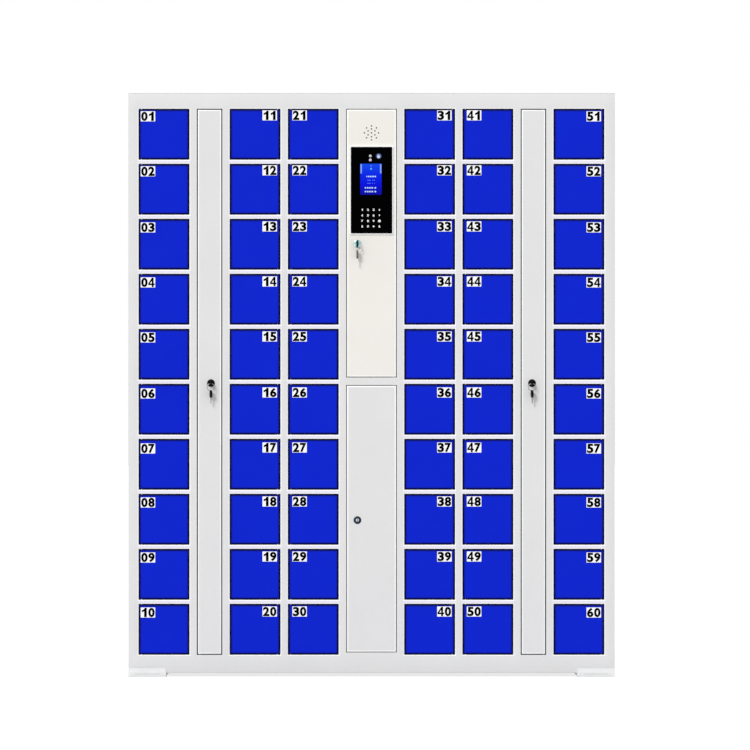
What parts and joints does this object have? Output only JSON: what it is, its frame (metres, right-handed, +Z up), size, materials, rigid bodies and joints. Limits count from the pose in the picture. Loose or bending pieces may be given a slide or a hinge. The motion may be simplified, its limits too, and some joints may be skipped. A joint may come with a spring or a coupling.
{
  "type": "cell phone locker",
  "caption": "Electronic cell phone locker: a steel cabinet of small numbered compartments with pivoting doors, a touch terminal on the control door and keyed service doors",
  "frame": {"origin": "on the floor, under the middle of the cabinet body", "axes": "+Z up, +Y towards the wall behind the cabinet, so the doors face -Y, +X to the right seen from the front"},
  "size_m": [1.5, 0.329, 1.8],
  "materials": {
    "frame_paint": "light grey powder coat",
    "wall_paint": "light grey powder coat",
    "door_paint": "blue powder coat",
    "control_paint": "warm white powder coat",
    "foot_plastic": "white moulded plastic",
    "lock_case_steel": "zinc plated steel",
    "bolt_steel": "plain steel",
    "circuit_board": "green solder mask",
    "duct_plastic": "grey plastic",
    "supply_steel": "pressed metal case",
    "black_plastic": "black moulded plastic",
    "black_glass": "black glass, back painted",
    "screen": "lit blue display",
    "lens": "glossy lens in a metal ring",
    "black_lock": "black plated",
    "chrome_lock": "chrome plated"
  },
  "bodies": {
    "cabinet": {"side_panels": "frame_paint", "top_panel": "frame_paint", "base_panel": "frame_paint", "back_panel": "frame_paint", "stiles": "frame_paint", "rails": "frame_paint", "walls": "wall_paint", "shelves": "wall_paint", "centre_shelf": "frame_paint", "feet": "foot_plastic", "lock_cases": "lock_case_steel", "lock_boards": "circuit_board", "wiring_ducts": "duct_plastic", "power_supply": "supply_steel", "power_inlet": "black_plastic"},
    "door_01": {"door_01": "door_paint"},
    "door_02": {"door_02": "door_paint"},
    "door_03": {"door_03": "door_paint"},
    "doors_04_to_10": {"doors_04_to_10": "door_paint"},
    "door_11": {"door_11": "door_paint"},
    "door_12": {"door_12": "door_paint"},
    "door_13": {"door_13": "door_paint"},
    "doors_14_to_20": {"doors_14_to_20": "door_paint"},
    "door_21": {"door_21": "door_paint"},
    "door_22": {"door_22": "door_paint"},
    "door_23": {"door_23": "door_paint"},
    "doors_24_to_30": {"doors_24_to_30": "door_paint"},
    "door_31": {"door_31": "door_paint"},
    "door_32": {"door_32": "door_paint"},
    "door_33": {"door_33": "door_paint"},
    "doors_34_to_40": {"doors_34_to_40": "door_paint"},
    "door_41": {"door_41": "door_paint"},
    "door_42": {"door_42": "door_paint"},
    "door_43": {"door_43": "door_paint"},
    "doors_44_to_50": {"doors_44_to_50": "door_paint"},
    "door_51": {"door_51": "door_paint"},
    "door_52": {"door_52": "door_paint"},
    "door_53": {"door_53": "door_paint"},
    "doors_54_to_60": {"doors_54_to_60": "door_paint"},
    "left_service_door": {"left_service_door": "frame_paint", "left_lock": "black_lock"},
    "right_service_door": {"right_service_door": "frame_paint", "right_lock": "black_lock"},
    "control_door": {"control_door": "control_paint", "control_lock": "chrome_lock", "terminal_housing": "black_plastic", "terminal_glass": "black_glass", "display": "screen", "terminal_board": "circuit_board", "camera": "lens", "speaker": "black_plastic"},
    "lower_door": {"lower_door": "frame_paint", "lower_lock": "black_lock"},
    "left_key": {"left_key": "black_lock"},
    "right_key": {"right_key": "black_lock"},
    "control_key": {"control_key": "chrome_lock"},
    "lower_plug": {"lower_plug": "chrome_lock"},
    "bolts_left_facing": {"bolts_left_facing": "bolt_steel"},
    "bolts_right_facing": {"bolts_right_facing": "bolt_steel"}
  },
  "joints": [
    {"name": "door_01_hinge", "type": "hinge", "parent": "cabinet", "child": "door_01", "pos_m": [-0.7087, -0.146, 1.67275], "axis": [0, 0, -1], "range_deg": [0, 95]},
    {"name": "door_02_hinge", "type": "hinge", "parent": "cabinet", "child": "door_02", "pos_m": [-0.7087, -0.146, 1.50315], "axis": [0, 0, -1], "range_deg": [0, 95]},
    {"name": "door_03_hinge", "type": "hinge", "parent": "cabinet", "child": "door_03", "pos_m": [-0.7087, -0.146, 1.33355], "axis": [0, 0, -1], "range_deg": [0, 95]},
    {"name": "doors_04_to_10_hinge", "type": "hinge", "parent": "cabinet", "child": "doors_04_to_10", "pos_m": [-0.7087, -0.146, 0.65515], "axis": [0, 0, -1], "range_deg": [0, 95]},
    {"name": "door_11_hinge", "type": "hinge", "parent": "cabinet", "child": "door_11", "pos_m": [-0.2898, -0.146, 1.67275], "axis": [0, 0, 1], "range_deg": [0, 95]},
    {"name": "door_12_hinge", "type": "hinge", "parent": "cabinet", "child": "door_12", "pos_m": [-0.2898, -0.146, 1.50315], "axis": [0, 0, 1], "range_deg": [0, 95]},
    {"name": "door_13_hinge", "type": "hinge", "parent": "cabinet", "child": "door_13", "pos_m": [-0.2898, -0.146, 1.33355], "axis": [0, 0, 1], "range_deg": [0, 95]},
    {"name": "doors_14_to_20_hinge", "type": "hinge", "parent": "cabinet", "child": "doors_14_to_20", "pos_m": [-0.2898, -0.146, 0.65515], "axis": [0, 0, 1], "range_deg": [0, 95]},
    {"name": "door_21_hinge", "type": "hinge", "parent": "cabinet", "child": "door_21", "pos_m": [-0.2485, -0.146, 1.67275], "axis": [0, 0, -1], "range_deg": [0, 95]},
    {"name": "door_22_hinge", "type": "hinge", "parent": "cabinet", "child": "door_22", "pos_m": [-0.2485, -0.146, 1.50315], "axis": [0, 0, -1], "range_deg": [0, 95]},
    {"name": "door_23_hinge", "type": "hinge", "parent": "cabinet", "child": "door_23", "pos_m": [-0.2485, -0.146, 1.33355], "axis": [0, 0, -1], "range_deg": [0, 95]},
    {"name": "doors_24_to_30_hinge", "type": "hinge", "parent": "cabinet", "child": "doors_24_to_30", "pos_m": [-0.2485, -0.146, 0.65515], "axis": [0, 0, -1], "range_deg": [0, 95]},
    {"name": "door_31_hinge", "type": "hinge", "parent": "cabinet", "child": "door_31", "pos_m": [0.2485, -0.146, 1.67275], "axis": [0, 0, 1], "range_deg": [0, 95]},
    {"name": "door_32_hinge", "type": "hinge", "parent": "cabinet", "child": "door_32", "pos_m": [0.2485, -0.146, 1.50315], "axis": [0, 0, 1], "range_deg": [0, 95]},
    {"name": "door_33_hinge", "type": "hinge", "parent": "cabinet", "child": "door_33", "pos_m": [0.2485, -0.146, 1.33355], "axis": [0, 0, 1], "range_deg": [0, 95]},
    {"name": "doors_34_to_40_hinge", "type": "hinge", "parent": "cabinet", "child": "doors_34_to_40", "pos_m": [0.2485, -0.146, 0.65515], "axis": [0, 0, 1], "range_deg": [0, 95]},
    {"name": "door_41_hinge", "type": "hinge", "parent": "cabinet", "child": "door_41", "pos_m": [0.2898, -0.146, 1.67275], "axis": [0, 0, -1], "range_deg": [0, 95]},
    {"name": "door_42_hinge", "type": "hinge", "parent": "cabinet", "child": "door_42", "pos_m": [0.2898, -0.146, 1.50315], "axis": [0, 0, -1], "range_deg": [0, 95]},
    {"name": "door_43_hinge", "type": "hinge", "parent": "cabinet", "child": "door_43", "pos_m": [0.2898, -0.146, 1.33355], "axis": [0, 0, -1], "range_deg": [0, 95]},
    {"name": "doors_44_to_50_hinge", "type": "hinge", "parent": "cabinet", "child": "doors_44_to_50", "pos_m": [0.2898, -0.146, 0.65515], "axis": [0, 0, -1], "range_deg": [0, 95]},
    {"name": "door_51_hinge", "type": "hinge", "parent": "cabinet", "child": "door_51", "pos_m": [0.7087, -0.146, 1.67275], "axis": [0, 0, 1], "range_deg": [0, 95]},
    {"name": "door_52_hinge", "type": "hinge", "parent": "cabinet", "child": "door_52", "pos_m": [0.7087, -0.146, 1.50315], "axis": [0, 0, 1], "range_deg": [0, 95]},
    {"name": "door_53_hinge", "type": "hinge", "parent": "cabinet", "child": "door_53", "pos_m": [0.7087, -0.146, 1.33355], "axis": [0, 0, 1], "range_deg": [0, 95]},
    {"name": "doors_54_to_60_hinge", "type": "hinge", "parent": "cabinet", "child": "doors_54_to_60", "pos_m": [0.7087, -0.146, 0.65515], "axis": [0, 0, 1], "range_deg": [0, 95]},
    {"name": "left_service_door_hinge", "type": "hinge", "parent": "cabinet", "child": "left_service_door", "pos_m": [-0.5292, -0.146, 0.90955], "axis": [0, 0, -1], "range_deg": [0, 110]},
    {"name": "right_service_door_hinge", "type": "hinge", "parent": "cabinet", "child": "right_service_door", "pos_m": [0.5292, -0.146, 0.90955], "axis": [0, 0, 1], "range_deg": [0, 110]},
    {"name": "control_door_hinge", "type": "hinge", "parent": "cabinet", "child": "control_door", "pos_m": [0.069, -0.146, 1.337], "axis": [0, 0, 1], "range_deg": [0, 95]},
    {"name": "lower_door_hinge", "type": "hinge", "parent": "cabinet", "child": "lower_door", "pos_m": [0.069, -0.146, 0.4873], "axis": [0, 0, 1], "range_deg": [0, 110]},
    {"name": "left_lock_turn", "type": "hinge", "parent": "left_service_door", "child": "left_key", "pos_m": [-0.4948, -0.15, 0.90555], "axis": [0, -1, 0], "range_deg": [0, 90]},
    {"name": "right_lock_turn", "type": "hinge", "parent": "right_service_door", "child": "right_key", "pos_m": [0.4948, -0.15, 0.90555], "axis": [0, 1, 0], "range_deg": [0, 90]},
    {"name": "control_lock_turn", "type": "hinge", "parent": "control_door", "child": "control_key", "pos_m": [-0.0435, -0.15, 1.335], "axis": [0, 1, 0], "range_deg": [0, 90]},
    {"name": "lower_lock_turn", "type": "hinge", "parent": "lower_door", "child": "lower_plug", "pos_m": [-0.0435, -0.15, 0.4833], "axis": [0, 1, 0], "range_deg": [0, 90]},
    {"name": "bolts_left_facing_slide", "type": "slide", "parent": "cabinet", "child": "bolts_left_facing", "axis": [-1, 0, 0], "range_m": [0, 0.009]},
    {"name": "bolts_right_facing_slide", "type": "slide", "parent": "cabinet", "child": "bolts_right_facing", "axis": [1, 0, 0], "range_m": [0, 0.009]}
  ]
}
